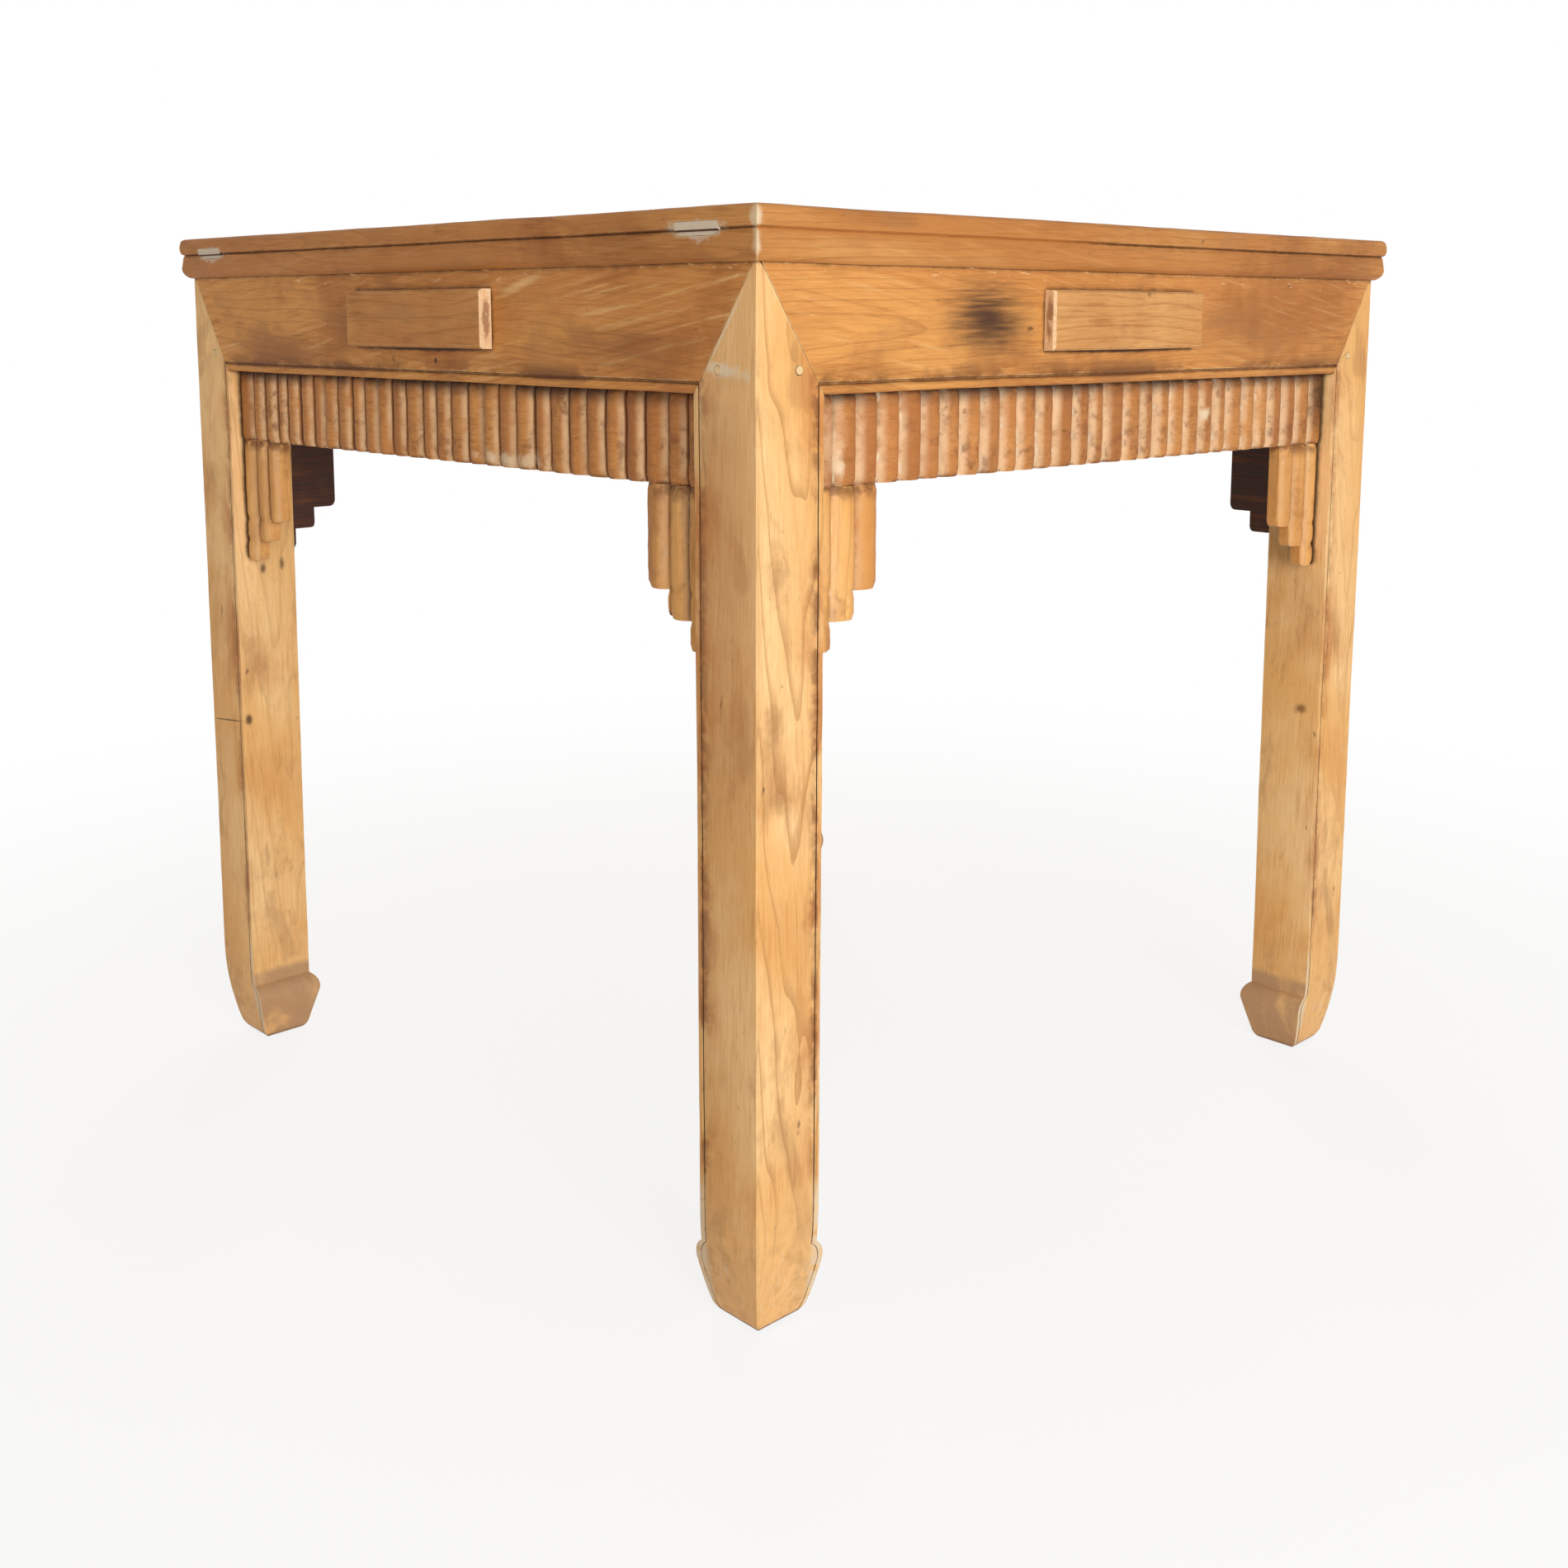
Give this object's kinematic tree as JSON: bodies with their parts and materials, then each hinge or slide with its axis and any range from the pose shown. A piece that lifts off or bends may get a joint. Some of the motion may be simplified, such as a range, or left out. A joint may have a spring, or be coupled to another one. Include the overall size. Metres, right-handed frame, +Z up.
{
  "type": "square dining table with drawers",
  "caption": "Square wooden table with a mitred frame top, hoof-footed corner legs, aprons with a small sliding drawer on each side, reeded friezes and stepped spandrels.",
  "frame": {"origin": "on the floor, under the middle of the table top", "axes": "+Z up; -Y out of the front side, the lit side in the picture; -X out of the left side"},
  "size_m": [0.8926, 0.8926, 0.865],
  "materials": {
    "frame_elm": "worn, waxed, bare elm",
    "reeded_elm": "hand-carved elm with grime in the grooves",
    "top_elm": "worn, waxed elm",
    "drawer_front_elm": "elm, worn pale at the edges",
    "inner_wood": "rough, dark-stained softwood",
    "drawer_wood": "bare, dusty softwood",
    "peg_wood": "pale end grain"
  },
  "bodies": {
    "table": {"leg_front_left": "frame_elm", "leg_front_right": "frame_elm", "leg_back_right": "frame_elm", "leg_back_left": "frame_elm", "front_apron": "frame_elm", "front_frieze": "reeded_elm", "front_spandrel_left": "reeded_elm", "front_spandrel_right": "reeded_elm", "right_apron": "frame_elm", "right_frieze": "reeded_elm", "right_spandrel_left": "reeded_elm", "right_spandrel_right": "reeded_elm", "back_apron": "frame_elm", "back_frieze": "reeded_elm", "back_spandrel_left": "reeded_elm", "back_spandrel_right": "reeded_elm", "left_apron": "frame_elm", "left_frieze": "reeded_elm", "left_spandrel_left": "reeded_elm", "left_spandrel_right": "reeded_elm", "top_rail_front": "top_elm", "top_rail_right": "top_elm", "top_rail_back": "top_elm", "top_rail_left": "top_elm", "top_board_1": "top_elm", "top_board_2": "top_elm", "top_board_3": "top_elm", "top_board_4": "top_elm", "top_batten_1": "inner_wood", "top_batten_2": "inner_wood", "top_batten_3": "inner_wood", "bearer_long_left": "inner_wood", "bearer_long_right": "inner_wood", "left_bearer_left": "inner_wood", "left_bearer_right": "inner_wood", "right_bearer_left": "inner_wood", "right_bearer_right": "inner_wood", "leg_pegs": "peg_wood"},
    "front_drawer": {"front_drawer_face": "drawer_front_elm", "front_drawer_side_left": "drawer_wood", "front_drawer_side_right": "drawer_wood", "front_drawer_back": "drawer_wood", "front_drawer_bottom": "drawer_wood"},
    "right_drawer": {"right_drawer_face": "drawer_front_elm", "right_drawer_side_left": "drawer_wood", "right_drawer_side_right": "drawer_wood", "right_drawer_back": "drawer_wood", "right_drawer_bottom": "drawer_wood"},
    "back_drawer": {"back_drawer_face": "drawer_front_elm", "back_drawer_side_left": "drawer_wood", "back_drawer_side_right": "drawer_wood", "back_drawer_back": "drawer_wood", "back_drawer_bottom": "drawer_wood"},
    "left_drawer": {"left_drawer_face": "drawer_front_elm", "left_drawer_side_left": "drawer_wood", "left_drawer_side_right": "drawer_wood", "left_drawer_back": "drawer_wood", "left_drawer_bottom": "drawer_wood"}
  },
  "joints": [
    {"name": "front_drawer_slide", "type": "slide", "parent": "table", "child": "front_drawer", "axis": [0, -1, 0], "range_m": [0, 0.2]},
    {"name": "right_drawer_slide", "type": "slide", "parent": "table", "child": "right_drawer", "axis": [1, 0, 0], "range_m": [0, 0.2]},
    {"name": "back_drawer_slide", "type": "slide", "parent": "table", "child": "back_drawer", "axis": [0, 1, 0], "range_m": [0, 0.2]},
    {"name": "left_drawer_slide", "type": "slide", "parent": "table", "child": "left_drawer", "axis": [-1, 0, 0], "range_m": [0, 0.2]}
  ]
}
